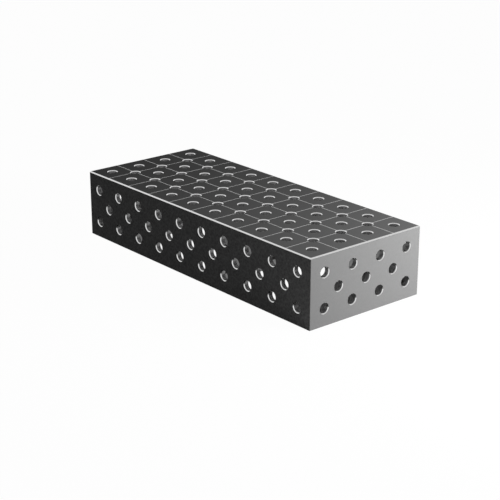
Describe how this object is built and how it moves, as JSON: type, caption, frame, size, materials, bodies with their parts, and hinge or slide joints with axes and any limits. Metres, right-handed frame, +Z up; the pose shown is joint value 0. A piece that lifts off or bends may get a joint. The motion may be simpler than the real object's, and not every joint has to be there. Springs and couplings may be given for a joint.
{
  "type": "welding table connector block",
  "caption": "Rectangular perforated steel box, open underneath, that links welding tables or raises work, with bevelled clamping holes on a diagonal grid in every working face.",
  "frame": {"origin": "middle of the underside, on the plane that the block rests on", "axes": "+X along the block's length towards the right end, +Y from the front side to the rear side, +Z up out of the scribed top face"},
  "size_m": [1, 0.4, 0.2],
  "materials": {
    "plate": "nitrided, ground",
    "inner_plate": "nitrided",
    "weld_bead": "as welded"
  },
  "bodies": {
    "root": {"top_plate": "plate", "front_side_plate": "plate", "rear_side_plate": "plate", "left_end_plate": "plate", "right_end_plate": "plate", "left_foot_plate": "plate", "right_foot_plate": "plate", "cross_rib": "inner_plate", "rib_foot_bar": "inner_plate", "top_seam_weld": "weld_bead", "left_foot_weld": "weld_bead", "right_foot_weld": "weld_bead", "rib_top_weld": "weld_bead", "rib_foot_weld": "weld_bead", "bar_front_weld": "weld_bead", "bar_rear_weld": "weld_bead", "front_left_corner_weld": "weld_bead", "front_right_corner_weld": "weld_bead", "rear_right_corner_weld": "weld_bead", "rear_left_corner_weld": "weld_bead"}
  },
  "joints": []
}
